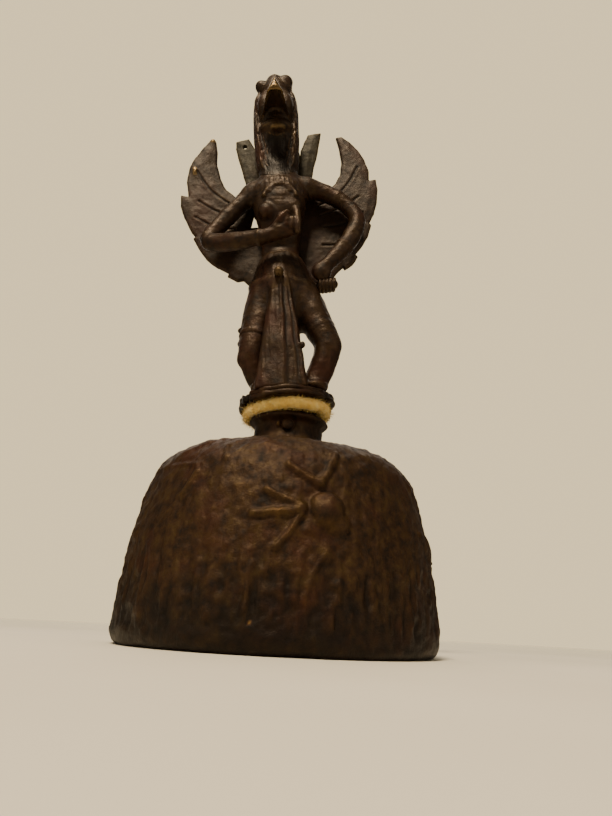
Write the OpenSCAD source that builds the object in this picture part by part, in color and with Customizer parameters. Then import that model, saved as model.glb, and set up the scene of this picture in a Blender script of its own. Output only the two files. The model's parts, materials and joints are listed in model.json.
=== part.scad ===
// Bronze hand bell with a winged, bird-headed figure as its handle.
// Millimetres. The origin is the centre of the mouth, on the plane that the rim stands on. +Z runs up the bell's axis
// and the figure looks towards -Y. "Left" and "right" are the figure's own, so its right arm is on the -X side.

/* [Bell] */
// Outer radius of the mouth
mouth_r = 45; // [43:0.5:48]
// Height of the crown, where the collar starts
crown_z = 59; // [57:0.5:61]
// Thickness of the cast wall
wall = 3.6; // [3:0.1:4.2]
// Radius of the round shoulder
shoulder_r = 13.5; // [12:0.5:15]
// Fall of the crown from the collar out to the shoulder, in degrees
crown_fall = 16; // [12:1:18]
// Outer radius of the collar that takes the handle
collar_r = 10.6; // [10.2:0.1:11]
// Radius of the flange at the top of the collar
flange_r = 12.3; // [12:0.1:12.6]

/* [Handle] */
// Sideways lean of the handle on its cross pin, in degrees
handle_lean = 5.5; // [0:0.5:6]
// Radius of the foot disc under the figure
disc_r = 15.6; // [15:0.1:16.5]
// Thickness of the foot disc
disc_t = 3.4; // [3:0.1:3.8]
// Radius of the tang that stands in the collar
tang_r = 6.4; // [6:0.1:6.6]
// Radius of the cross pin through collar and tang
pin_r = 1.8; // [1.5:0.1:2]
// Thickness of the packing cord
cord_d = 2.8; // [2.4:0.1:3]
// Thickness of the wing plates
wing_t = 3; // [2.4:0.1:3.4]

/* [Clapper] */
// Height of the staple's bar, which the clapper swings on
bar_z = 48.5; // [48:0.1:49]
// Radius of the clapper's bob
bob_r = 8.5; // [7.5:0.1:8.8]
// Height of the bob's centre at rest
bob_z = 10.5; // [10:0.1:12]

/* [Hidden] */

$fn = 64;
bronze = "#4a3322";
bronze_red = "#573322";
bronze_green = "#565240";
hemp = "#c9a24e";
iron = "#3c3732";

// Collar, socket and cross pin
collar_top = crown_z + 8.2;      // top face of the flange
socket_r = tang_r + 1.2;         // room for the leaning tang
socket_z = crown_z;              // floor of the blind socket
pin_z = crown_z + 4.5;           // axis of the cross pin, along Y
pin_play = 0.05;                 // running clearance on the pin's radius
pin_proud = 0.3;                 // how far the peened ends stand out
// Foot disc and packing cord, along the handle's own axis
disc_z = collar_top + 4.2;       // under side of the disc
disc_top = disc_z + disc_t;
cord_r = cord_d / 2;
cord_ring_r = disc_r - 1.5 - cord_r;
// Staple, link and clapper: round wire, hooked into each other
staple_r = 1.3;
staple_half = 4.2;               // half the distance between the staple's legs
staple_root = 3.5;               // how deep the legs are cast into the crown
wire_r = 1.1;
hook_play = 0.05;
link_arc = 2.9;                  // centreline radius of the link's two ends
link_side = 1.5;                 // straight sides between them
eye_arc = 2.7;                   // centreline radius of the clapper's eye
link_top_z = bar_z + staple_r + hook_play + wire_r - link_arc;   // centre of the link's upper end
link_low_z = link_top_z - link_side;                             // centre of its lower end
link_foot_z = link_low_z - link_arc;                             // wire centre that the clapper hangs on
eye_z = link_foot_z + 2 * wire_r + hook_play - eye_arc;          // centre of the clapper's eye
boss_z = crown_z - 5;            // under side of the thick middle of the crown
inner_arc = shoulder_r - wall;
shoulder_x = mouth_r - 19.4;
shoulder_z = crown_z - (shoulder_r + (shoulder_x - collar_r) * sin(crown_fall)) / cos(crown_fall);
wall_turn = 18;                  // where the shoulder's arc runs into the wall, in degrees
wing_back = 6.2;                 // back face of the wing plates
bar_t = 2.2;                     // thickness of the plates behind the neck

// ---- helpers -------------------------------------------------------------------------------------------------

// Points of an arc about [x, z], from angle a to angle b
function arc(x, z, r, a, b, n = 8) = [for (i = [0:n]) [x + r * cos(a + (b - a) * i / n), z + r * sin(a + (b - a) * i / n)]];

// Points of a quadratic curve from p to q that leans towards c; its first point is left out
function bend(p, c, q, n = 6) = [for (i = [1:n]) let (t = i / n) (1 - t) * (1 - t) * p + 2 * t * (1 - t) * c + t * t * q];

function unit(v) = v / norm(v);

// Catmull-Rom curve through rows of numbers
function between(a, b, c, d, t) =
  0.5 * (2 * b + (c - a) * t + (2 * a - 5 * b + 4 * c - d) * t * t + (3 * b - a - 3 * c + d) * t * t * t);
function smooth(rows, steps) = let (n = len(rows)) [
  for (i = [0:n - 2]) for (k = [0:steps - 1])
    between(rows[max(i - 1, 0)], rows[i], rows[i + 1], rows[min(i + 2, n - 1)], k / steps),
  rows[n - 1]
];

// A round or oval member through rows of [x, y, z, half width, half depth], with domed ends
module member(rows, steps = 3, sides = 16) {
  path = smooth(rows, steps);
  n = len(path);
  centre = [for (p = path) [p[0], p[1], p[2]]];
  way = [for (i = [0:n - 1]) unit(centre[min(i + 1, n - 1)] - centre[max(i - 1, 0)])];
  // each ring is [centre, direction, half width, half depth]
  first = [for (s = [[0.92, 0.35], [0.6, 0.78]])
    [centre[0] - way[0] * path[0][3] * s[0], way[0], path[0][3] * s[1], path[0][4] * s[1]]];
  last = [for (s = [[0.6, 0.78], [0.92, 0.35]])
    [centre[n - 1] + way[n - 1] * path[n - 1][3] * s[0], way[n - 1], path[n - 1][3] * s[1], path[n - 1][4] * s[1]]];
  middle = [for (i = [0:n - 1]) [centre[i], way[i], path[i][3], path[i][4]]];
  rings = concat(first, middle, last);
  m = len(rings);
  points = [for (r = rings)
    let (side = unit(cross(r[1], [0, 1, 0])), deep = cross(r[1], side))
    for (k = [0:sides - 1]) r[0] + side * r[2] * cos(360 * k / sides) + deep * r[3] * sin(360 * k / sides)];
  walls = [for (i = [0:m - 2]) for (k = [0:sides - 1])
    let (j = (k + 1) % sides)
    each [[i * sides + k, (i + 1) * sides + j, i * sides + j], [i * sides + k, (i + 1) * sides + k, (i + 1) * sides + j]]];
  ends = [[for (k = [0:sides - 1]) k], [for (k = [sides - 1:-1:0]) (m - 1) * sides + k]];
  polyhedron(points, concat(walls, ends), convexity = 4);
}

// A flat plate in the X-Z plane, cut to an outline, with its back face at y
module plate(outline, t, y) {
  translate([0, y, 0]) rotate([90, 0, 0]) linear_extrude(t) polygon(outline);
}

// A ring of round wire about the Y axis, centred on [0, 0, z]
module wire_ring(arc_r, r, z) {
  translate([0, 0, z]) rotate([90, 0, 0]) rotate_extrude() translate([arc_r, 0]) circle(r);
}

// The whole handle leans on the cross pin
module lean() {
  translate([0, 0, pin_z]) rotate([0, -handle_lean, 0]) translate([0, 0, -pin_z]) children();
}

// ---- bell ----------------------------------------------------------------------------------------------------

wall_foot = [mouth_r, 1.6];
wall_head = [shoulder_x + shoulder_r * cos(wall_turn), shoulder_z + shoulder_r * sin(wall_turn)];
inner_head = [shoulder_x + inner_arc * cos(wall_turn), shoulder_z + inner_arc * sin(wall_turn)];
function outside() = concat(
  [[mouth_r - 1.6, 0]],
  arc(mouth_r - 1.6, 1.6, 1.6, -60, 0, 4),
  bend(wall_foot, [mouth_r - 0.7, shoulder_z * 0.66], wall_head, 7),
  arc(shoulder_x, shoulder_z, shoulder_r, wall_turn + 7, 90 - crown_fall, 7),
  [[collar_r + 1.2, crown_z - 0.2], [collar_r, crown_z + 1], [collar_r, collar_top - 2.4],
   [flange_r, collar_top - 1.2], [flange_r, collar_top - 0.4], [flange_r - 0.4, collar_top]]
);
function inside() = concat(
  [[socket_r, collar_top], [socket_r, socket_z], [0, socket_z], [0, boss_z], [8, boss_z], [10, crown_z - wall]],
  arc(shoulder_x, shoulder_z, inner_arc, 90 - crown_fall, wall_turn, 7),
  bend(inner_head, [mouth_r - wall - 0.7, 26], [mouth_r - wall, 10], 5),
  [[mouth_r - 4.6, 4], [mouth_r - 4.6, 0.8], [mouth_r - 3.8, 0]]
);

// Outer radius of the wall at a height below the shoulder, and a point on it at an angle from the front
function wall_r(z) = z > wall_head[1]
  ? shoulder_x + sqrt(pow(shoulder_r, 2) - pow(z - shoulder_z, 2))
  : mouth_r - (mouth_r - wall_head[0]) * pow(z / wall_head[1], 2);
function on_wall(a, z, out = 0) = [(wall_r(z) + out) * sin(a), -(wall_r(z) + out) * cos(a), z];

// A raised cast thread along points given as [angle, height]
module thread(points, r) {
  for (i = [0:len(points) - 2]) {
    p = on_wall(points[i][0], points[i][1]);
    q = on_wall(points[i + 1][0], points[i + 1][1]);
    d = q - p;
    translate(p) rotate([0, acos(d[2] / norm(d)), atan2(d[1], d[0])]) cylinder(h = norm(d), r = r, $fn = 24);
  }
}

module relief() {
  translate(on_wall(15.5, 32.5, -0.4)) sphere(2.8, $fn = 32);
  thread([[2, 43], [12, 38.8]], 1.2);
  thread([[-4, 37], [5, 33]], 1.1);
  thread([[5.5, 31], [-1, 23.6]], 1);
  thread([[30, 38], [38, 38.4]], 0.9);
  thread([[-33, 34.6], [-38, 24.8]], 0.9);
}

module bell_shell() color(bronze)
  difference() {
    union() {
      rotate_extrude($fn = 96) polygon(concat(outside(), inside()));
      relief();
    }
    translate([0, 0, pin_z]) rotate([90, 0, 0])
      cylinder(h = 2 * flange_r + 2, r = pin_r + pin_play, center = true);
    for (side = [-1, 1]) translate([side * staple_half, 0, boss_z - 1])
      cylinder(h = staple_root + 1, r = staple_r + 0.02, $fn = 32);
  }

module cross_pin() color(bronze_red)
  translate([0, 0, pin_z]) rotate([90, 0, 0])
    cylinder(h = 2 * (collar_r + pin_proud), r = pin_r, center = true);

// ---- handle: foot, cord and figure ---------------------------------------------------------------------------

module packing_cord() color(hemp) lean()
  translate([0, 0, disc_z - cord_r]) rotate_extrude() translate([cord_ring_r, 0]) circle(cord_r, $fn = 32);

module foot_disc() color(bronze) lean()
  difference() {
    rotate_extrude($fn = 96) polygon(concat(
      [[0, socket_z + 1], [tang_r - 0.6, socket_z + 1], [tang_r, socket_z + 1.6], [tang_r, disc_z]],
      [[disc_r - 0.8, disc_z]], arc(disc_r - 1.3, disc_top - 1.5, 1.5, -30, 80, 5), [[0, disc_top]]
    ));
    translate([0, 0, pin_z]) rotate([90, 0, 0])
      cylinder(h = 2 * tang_r + 2, r = pin_r + pin_play, center = true);
  }

module right_leg() color(bronze_red) lean()
  member([[-6.4, -2.5, 109, 5.2, 5.2], [-8.8, -4, 98, 5, 5.2], [-10.4, -5.6, 88.6, 4.2, 4.4],
          [-9.4, -5, 82.4, 3.7, 3.8], [-7.4, -5.2, 77, 3, 3.4]]);

module left_leg() color(bronze_red) lean()
  member([[6.8, -2.5, 109, 5.2, 5.2], [10, -4, 100, 5, 5], [12.8, -5.4, 91.5, 4.4, 4.4],
          [11.4, -5.2, 84, 4.1, 4], [8.8, -5.2, 77, 3.3, 3.5]]);

module hips() color(bronze) lean()
  member([[0, -2, 121, 7.2, 5.6], [0, -2.4, 115.5, 9.4, 7.2], [0, -2.6, 109, 10.6, 7.4], [0, -2.2, 102.5, 8.4, 5.6]]);

module apron() color(bronze) lean()
  translate([0, -10.4, disc_top]) rotate([-4, 0, 0])
    rotate([90, 0, 0]) linear_extrude(3.4)
      polygon([[-9.4, 0], [6.4, 0], [4.4, 17], [2.8, 34.5], [0.6, 37], [-3, 37], [-4.6, 34.5]]);

module belt() color(bronze) lean()
  translate([0, -2.4, 113.6]) scale([10.6, 8.2, 10]) rotate_extrude() translate([1, 0]) scale([0.13, 0.13]) circle(1, $fn = 24);

module belt_boss() color(bronze_red) lean()
  translate([-0.8, -12.6, 114]) sphere(1.9, $fn = 32);

module belt_knot() color(bronze) lean()
  translate([10, -3.6, 113.2]) rotate([0, 90, -8]) {
    cylinder(h = 7, r = 2.1, $fn = 32);
    for (i = [0:2]) translate([0, 0, 2.2 + 1.6 * i]) cylinder(h = 1, r = 2.5, $fn = 32);
  }

module torso() color(bronze_red) lean()
  member([[0, -2, 123, 7.2, 5.2], [0, -2, 131, 6.4, 5], [0, -2, 139, 7.8, 5.8], [0, -2.2, 147, 9.6, 6.8],
          [0, -1.8, 153, 9.8, 6], [0, -1, 158, 6, 4.8]]);

module breast_collar() color(bronze) lean()
  translate([0, -1.8, 157.2]) rotate([14, 0, 0]) scale([8, 6.6, 8])
    rotate_extrude() translate([1, 0]) scale([0.17, 0.17]) circle(1, $fn = 24);

module right_arm() color(bronze_red) lean()
  member([[-9.2, -1, 153, 3.4, 3.4], [-17.2, -1.8, 144.2, 2.6, 2.6], [-24.6, -4, 133, 2.6, 2.6],
          [-16.4, -8.6, 129.2, 2.6, 2.6], [-6.4, -12.4, 126.6, 2.3, 2.3], [1, -14, 130.2, 3, 2.8]], 4);

module left_arm() color(bronze_red) lean()
  member([[9.6, -1, 155, 3.4, 3.4], [18.4, -1.4, 151.4, 2.8, 2.8], [26.4, -2, 144, 2.6, 2.6],
          [26, -2.8, 136.4, 2.7, 2.7], [20, -4.4, 126.6, 2.8, 2.8], [13.4, -6, 118.8, 2.9, 2.9]], 4);

// ---- handle: head --------------------------------------------------------------------------------------------

module head() color(bronze) lean()
  member([[0, -1.6, 161, 5.6, 5.4], [0, -1.8, 167, 6, 5.4], [0, -2.6, 176, 6.6, 6.6], [0, -3, 186, 7, 7.2],
          [0, -3.4, 194, 6.6, 6.6], [0, -4, 199.4, 4.2, 4.4]]);

module upper_beak() color(bronze_red) lean()
  member([[0, -7.6, 187, 4.6, 5.2], [0, -12.5, 186.4, 3.8, 3.3], [0, -17, 185.6, 2.6, 2.1], [0, -19.4, 185, 1.5, 1.4]],
         3, 14);

module lower_beak() color(bronze_red) lean()
  member([[0, -5.4, 176.4, 5.6, 2.6], [0, -8.6, 176.6, 5, 2.3], [0, -11.2, 177, 3.6, 1.7]], 3, 14);

module eyes() color(bronze_green) lean() {
  translate([-4.6, -6.2, 196.6]) sphere(2.5, $fn = 32);
  translate([4, -6, 198]) sphere(2.8, $fn = 32);
}

module mane() color(bronze) lean()
  for (side = [-1, 1])
    member([[side * 5.4, -2.6, 191.5, 1.4, 2.6], [side * 6.8, -1.6, 184, 1.9, 3.6], [side * 6.9, -0.6, 175, 1.9, 4],
            [side * 6.4, 0, 166, 1.6, 3.4]], 3, 14);

// ---- handle: wings and the plates behind the neck ------------------------------------------------------------

// Outline of a wing on the +X side: a horn-shaped top feather, two shorter ones, and the root behind the back
function wing_outline(notch) = let (
    tip = [23.4, 181.5], crook = [33.6, notch], second = [35.4, notch - 0.6], third = [31.4, notch - 19.6],
    fourth = [23, notch - 33], root = [5, 118.5], arm_pit = [10, 149.5]
  ) concat(
    [tip],
    bend(tip, [33.4, 176], crook, 8),
    [second], bend(second, [35.4, notch - 12], third + [-1.2, 0.4], 5),
    [third], bend(third, [29.4, notch - 28], fourth + [-0.6, 0.8], 5),
    [fourth], bend(fourth, [14, 121], root, 4),
    [[4, 132], [5, 150]],
    bend(arm_pit, [25.5, 156.5], tip, 8)
  );

module right_wing() color(bronze_red) lean() mirror([1, 0, 0]) plate(wing_outline(155.5), wing_t, wing_back);

module left_wing() color(bronze_red) lean() plate(wing_outline(160), wing_t, wing_back);

module back_plate() color(bronze_green) lean()
  plate([[-6, 148], [6, 148], [8.6, 178.6], [-7.4, 178.6]], bar_t, wing_back + bar_t);

module right_back_bar() color(bronze_green) lean()
  difference() {
    plate([[-6, 148], [-7.4, 178.6], [-10.6, 185.4], [-15.8, 183.6], [-10.8, 160], [-9.4, 148]], bar_t, wing_back + bar_t);
    translate([-12, wing_back + bar_t + 1, 180.6]) rotate([90, 0, 0]) cylinder(h = bar_t + 2, r = 0.6, $fn = 24);
  }

module left_back_bar() color(bronze_green) lean()
  plate([[6, 148], [9.4, 148], [12, 163], [17.2, 187], [11.9, 186], [8.6, 178.6]], bar_t, wing_back + bar_t);

// ---- clapper -------------------------------------------------------------------------------------------------

module clapper_staple() color(iron)
  union() {
    for (side = [-1, 1]) translate([side * staple_half, 0, bar_z]) {
      cylinder(h = boss_z + staple_root - bar_z, r = staple_r, $fn = 32);
      sphere(staple_r, $fn = 32);
    }
    translate([-staple_half, 0, bar_z]) rotate([0, 90, 0]) cylinder(h = 2 * staple_half, r = staple_r, $fn = 32);
  }

module clapper_link() color(iron)
  rotate([0, 0, 90]) {
    for (end = [[link_top_z, 0], [link_low_z, 180]])
      translate([0, 0, end[0]]) rotate([90, end[1], 0]) rotate_extrude(angle = 180)
        translate([link_arc, 0]) circle(wire_r, $fn = 32);
    for (side = [-1, 1]) translate([side * link_arc, 0, link_low_z]) cylinder(h = link_side, r = wire_r, $fn = 32);
  }

module clapper() color(iron)
  union() {
    wire_ring(eye_arc, wire_r, eye_z);
    translate([0, 0, bob_z]) cylinder(h = eye_z - eye_arc - bob_z, r1 = 2.4, r2 = 1.2, $fn = 32);
    translate([0, 0, bob_z]) sphere(bob_r);
  }

// ---- one node at a time --------------------------------------------------------------------------------------

bell_shell();
cross_pin();
packing_cord();
foot_disc();
right_leg();
left_leg();
hips();
apron();
belt();
belt_boss();
belt_knot();
torso();
breast_collar();
right_arm();
left_arm();
head();
upper_beak();
lower_beak();
eyes();
mane();
right_wing();
left_wing();
back_plate();
right_back_bar();
left_back_bar();
clapper_staple();
clapper_link();
clapper();
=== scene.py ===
"""Bronze hand bell with a winged, bird-headed figure as its handle.

Lengths are in millimetres until a mesh is made.
"""
import itertools
import json
import math

import bpy
import numpy as np
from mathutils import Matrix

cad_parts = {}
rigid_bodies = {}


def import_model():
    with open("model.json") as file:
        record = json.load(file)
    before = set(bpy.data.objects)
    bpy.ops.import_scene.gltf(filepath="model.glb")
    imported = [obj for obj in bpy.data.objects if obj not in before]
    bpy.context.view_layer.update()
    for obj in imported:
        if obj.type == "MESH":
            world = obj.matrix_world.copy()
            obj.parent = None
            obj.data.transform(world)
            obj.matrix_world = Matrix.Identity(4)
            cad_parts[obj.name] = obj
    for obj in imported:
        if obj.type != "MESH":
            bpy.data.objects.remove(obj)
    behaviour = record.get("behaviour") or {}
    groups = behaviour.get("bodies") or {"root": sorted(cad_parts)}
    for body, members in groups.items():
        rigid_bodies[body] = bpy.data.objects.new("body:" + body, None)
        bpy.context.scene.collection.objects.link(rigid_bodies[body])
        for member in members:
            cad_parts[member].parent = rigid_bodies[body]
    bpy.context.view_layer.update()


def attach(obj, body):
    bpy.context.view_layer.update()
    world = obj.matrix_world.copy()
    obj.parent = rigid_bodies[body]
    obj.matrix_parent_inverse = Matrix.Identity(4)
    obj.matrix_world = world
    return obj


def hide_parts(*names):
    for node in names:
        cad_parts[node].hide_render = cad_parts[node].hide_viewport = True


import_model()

import openvdb
from mathutils import Matrix, Vector

MM = 0.001

# The bell's main sizes, as in the CAD model but for the cord, which is drawn in a little
MOUTH_R = 45.0
CROWN_Z = 59.0
WALL = 3.6
COLLAR_R = 10.6
CROWN_FALL = math.radians(16.0)
SHOULDER_R = 13.5
SHOULDER_X = MOUTH_R - 19.4
SHOULDER_Z = CROWN_Z - (SHOULDER_R + (SHOULDER_X - COLLAR_R) * math.sin(CROWN_FALL)) / math.cos(CROWN_FALL)
WALL_TURN = math.radians(18.0)
FLANGE_R = 12.3
COLLAR_TOP = CROWN_Z + 8.2
PIN_Z = CROWN_Z + 4.5
PIN_R = 1.8
SOCKET_R = 7.6
LEAN = math.radians(5.5)
DISC_Z = COLLAR_TOP + 4.2
DISC_T = 3.4
DISC_R = 15.6
TANG_R = 6.4
CORD_R = 1.75
CORD_RING_R = 12.1


# ---- small mathematics ----

def smoothstep(low, high, v):
    t = np.clip((v - low) / (high - low), 0.0, 1.0)
    return t * t * (3.0 - 2.0 * t)


def smin(a, b, k):
    """The nearer of two distances, with a soft joint k wide."""
    h = np.maximum(k - np.abs(a - b), 0.0) / k
    return np.minimum(a, b) - h * h * k * 0.25


def smax(a, b, k):
    return -smin(-a, -b, k)


def hump(x, width):
    return np.exp(-(x / width) ** 2)


def curve(rows, steps):
    """Catmull-Rom curve through rows of numbers."""
    rows = np.asarray(rows, float)
    out = []
    last = len(rows) - 1
    for i in range(last):
        a, b, c, d = rows[max(i - 1, 0)], rows[i], rows[i + 1], rows[min(i + 2, last)]
        for k in range(steps):
            t = k / steps
            out.append(0.5 * (2 * b + (c - a) * t + (2 * a - 5 * b + 4 * c - d) * t * t
                              + (3 * b - a - 3 * c + d) * t ** 3))
    out.append(rows[-1])
    return np.array(out)


def lattice(i, seed):
    h = (i[..., 0] * 73856093) ^ (i[..., 1] * 19349663) ^ (i[..., 2] * 83492791) ^ (seed * 2654435761)
    h = h & 0xFFFFFFFF
    h = ((h ^ (h >> 13)) * 1274126177) & 0xFFFFFFFF
    return ((h ^ (h >> 16)) & 0xFFFF) / 32767.5 - 1.0


def noise(p, size, seed):
    """Smooth noise from -1 to 1 at points p, with lumps about as large as size (one or three numbers)."""
    q = p / np.asarray(size, float)
    base = np.floor(q).astype(np.int64)
    f = q - base
    f = f * f * (3.0 - 2.0 * f)
    total = 0.0
    for corner in itertools.product((0, 1), repeat=3):
        weight = 1.0
        for axis in range(3):
            weight = weight * (f[..., axis] if corner[axis] else 1.0 - f[..., axis])
        total = total + weight * lattice(base + np.array(corner), seed)
    return total


def cast_skin(p, amount, seed):
    """The slightly lumpy skin that wax and a clay mould leave."""
    return amount * (0.16 * noise(p, 5.0, seed) + 0.09 * noise(p, 2.2, seed + 1)
                     + 0.05 * noise(p, 1.0, seed + 2))


def line_gap(p, points):
    """Distance from each point to a polyline; works in two or three dimensions."""
    points = np.asarray(points, float)
    best = np.full(len(p), 1e9)
    for a, b in zip(points, points[1:]):
        d = b - a
        t = np.clip(((p - a) @ d) / (d @ d), 0.0, 1.0)
        best = np.minimum(best, np.linalg.norm(p - (a + t[:, None] * d), axis=1))
    return best


# ---- meshes ----

def leaned(v):
    """The handle leans towards the figure's right on its cross pin."""
    out = v.copy()
    c, s = math.cos(LEAN), math.sin(LEAN)
    z = v[:, 2] - PIN_Z
    out[:, 0] = v[:, 0] * c - z * s
    out[:, 2] = v[:, 0] * s + z * c + PIN_Z
    return out


def normals(v, faces):
    """Vertex normals, weighted by area."""
    out = np.zeros_like(v)
    a = v[faces[:, 2]] - v[faces[:, 0]]
    b = v[faces[:, -1]] - v[faces[:, 1]]
    n = np.cross(a, b)
    for k in range(faces.shape[1]):
        np.add.at(out, faces[:, k], n)
    return out / np.maximum(np.linalg.norm(out, axis=1, keepdims=True), 1e-12)


def put(name, data):
    """An object with its data, in the scene."""
    obj = bpy.data.objects.new(name, data)
    bpy.context.scene.collection.objects.link(obj)
    return obj


def add_piece(name, v, faces, material, node, lean=True, wear_and_painted_light=None):
    """A mesh piece that stands for a CAD node; wear_and_painted_light runs from -1 in a hollow to 1 on an
    edge, and on some pieces it also carries painted shade and painted highlights.
    """
    mesh = bpy.data.meshes.new(name)
    at = (leaned(v) if lean else v) * MM
    mesh.from_pydata(at.tolist(), [], [f.tolist() for f in faces])
    mesh.polygons.foreach_set("use_smooth", [True] * len(mesh.polygons))
    if wear_and_painted_light is not None:
        layer = mesh.attributes.new("wear_and_painted_light", "FLOAT", "POINT")
        layer.data.foreach_set("value", np.clip(wear_and_painted_light, -1, 1).astype(np.float32))
    mesh.validate()
    mesh.update()
    obj = put(name, mesh)
    obj.data.materials.append(material)
    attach(obj, "bell")
    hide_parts(node)


def lathe(profile, angles):
    """Vertices, side faces and all faces of a turned solid; the profile starts and ends on the axis."""
    inner = profile[1:-1]
    sin, cos = np.sin(angles), np.cos(angles)
    n, m = len(angles), len(inner)
    v = np.zeros((m, n, 3))
    v[:, :, 0] = inner[:, 0:1] * sin
    v[:, :, 1] = -inner[:, 0:1] * cos
    v[:, :, 2] = inner[:, 1:2]
    v = np.vstack([v.reshape(-1, 3), [[0, 0, profile[0][1]], [0, 0, profile[-1][1]]]])
    k = np.arange(n)
    j = (k + 1) % n
    quads = np.vstack([np.stack([i * n + k, i * n + j, (i + 1) * n + j, (i + 1) * n + k], axis=1)
                       for i in range(m - 1)])
    first = np.stack([j, k, np.full(n, m * n)], axis=1)
    last = np.stack([(m - 1) * n + k, (m - 1) * n + j, np.full(n, m * n + 1)], axis=1)
    return v, quads, [*quads, *first, *last]


def resample(points, spacing):
    """Points along a profile, about spacing apart."""
    points = np.asarray(points, float)
    s = np.concatenate([[0], np.cumsum(np.linalg.norm(np.diff(points, axis=0), axis=1))])
    count = max(int(round(s[-1] / spacing)), 1)
    at = np.linspace(0, s[-1], count + 1)
    return np.stack([np.interp(at, s, points[:, 0]), np.interp(at, s, points[:, 1])], axis=1)


# ---- sculpting with distance fields ----

class Space:
    """A box of sample points that fields are worked out on."""

    def __init__(self, low, high, step):
        self.low = np.asarray(low, float)
        self.step = step
        axes = [np.arange(low[i], high[i] + step, step, dtype=np.float32) for i in range(3)]
        self.x, self.y, self.z = np.meshgrid(*axes, indexing="ij", sparse=True)

    def full(self, field):
        """The field with a value at every point."""
        return np.broadcast_to(field, (self.x.shape[0], self.y.shape[1], self.z.shape[2]))


def limb(g, rows, steps=4):
    """Distance to an oval limb through rows of x, y, z, half width, half depth, and how far along it."""
    path = curve(rows, steps)
    best, along, start = None, None, 0.0
    for a, b in zip(path, path[1:]):
        d = (b[:3] - a[:3])
        length = float(np.linalg.norm(d))
        t = ((g.x - a[0]) * d[0] + (g.y - a[1]) * d[1] + (g.z - a[2]) * d[2]) / length ** 2
        t = np.clip(t, 0.0, 1.0)
        ratio = (a[3] + b[3]) / (a[4] + b[4])
        ex = g.x - (a[0] + d[0] * t)
        ey = (g.y - (a[1] + d[1] * t)) * ratio
        ez = g.z - (a[2] + d[2] * t)
        away = np.sqrt(ex * ex + ey * ey + ez * ez) - (a[3] + (b[3] - a[3]) * t)
        if ratio > 1:
            away = away / ratio ** 0.5
        here = start + t * length
        if best is None:
            best, along = away, here
        else:
            nearer = away < best
            best = np.where(nearer, away, best)
            along = np.where(nearer, here, along)
        start += length
    return best, along


def egg(g, centre, half):
    """Distance to an ellipsoid, near enough close to its surface."""
    q = [(c - m) / h for c, m, h in zip((g.x, g.y, g.z), centre, half)]
    r = np.sqrt(q[0] ** 2 + q[1] ** 2 + q[2] ** 2)
    k = np.sqrt((q[0] / half[0]) ** 2 + (q[1] / half[1]) ** 2 + (q[2] / half[2]) ** 2)
    return r * (r - 1.0) / np.maximum(k, 1e-4)


def outline_gap(x, z, points):
    """Signed distance in the plane to a closed outline."""
    points = np.asarray(points, float)
    gap = np.full(np.broadcast(x, z).shape, 1e9, dtype=np.float32)
    inside = np.zeros(gap.shape, bool)
    for (ax, az), (bx, bz) in zip(points, np.roll(points, -1, axis=0)):
        dx, dz = bx - ax, bz - az
        t = np.clip(((x - ax) * dx + (z - az) * dz) / (dx * dx + dz * dz), 0, 1)
        gap = np.minimum(gap, np.hypot(x - ax - t * dx, z - az - t * dz))
        crosses = (az > z) != (bz > z)
        inside ^= crosses & (x < ax + (z - az) / (dz if dz else 1e-9) * dx)
    return np.where(inside, -gap, gap)


FIELDS = {}
BLENDS = {}
OVERLAP = 0.5  # how far a member runs on past the middle between it and a neighbour
FIGURE_SEED = 100


def member(name, low, high, blends):
    """Registers a field: its box, and how softly it runs into each neighbour."""
    def keep(fn):
        FIELDS[name] = (fn, np.array(low, float), np.array(high, float))
        BLENDS[name] = blends
        return fn
    return keep


def sample(field, at):
    """The field at fractional indices."""
    i = np.clip(np.floor(at).astype(int), 0, np.array(field.shape) - 2)
    f = at - i
    total = 0.0
    for c in itertools.product((0, 1), repeat=3):
        w = np.prod([f[:, k] if c[k] else 1 - f[:, k] for k in range(3)], axis=0)
        total = total + w * field[i[:, 0] + c[0], i[:, 1] + c[1], i[:, 2] + c[2]]
    return total


def skin(field, g):
    """Vertices, faces and outward normals of a field's surface, and how sharp the surface is there."""
    field = np.ascontiguousarray(field, dtype=np.float32)
    field[[0, -1], :, :] = 1.0
    field[:, [0, -1], :] = 1.0
    field[:, :, [0, -1]] = 1.0
    grid = openvdb.FloatGrid(1.0)
    grid.copyFromArray(field)
    points, quads = grid.convertToQuads(0.0)
    points = np.asarray(points, float)
    quads = np.asarray(quads, int)
    bend = np.zeros_like(field)
    inner = (slice(2, -2),) * 3
    total = -6.0 * field[inner]
    for axis in range(3):
        for shift in (-2, 2):
            total = total + np.roll(field, shift, axis=axis)[inner]
    bend[inner] = total / (4.0 * g.step ** 2)
    sharp = sample(bend, points)
    v = g.low + points * g.step
    n = normals(v, quads)
    back = sample(field, points + n) < sample(field, points - n)
    if back.mean() > 0.5:
        quads = quads[:, ::-1]
        n = -n
    return v, quads, n, sharp


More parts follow.
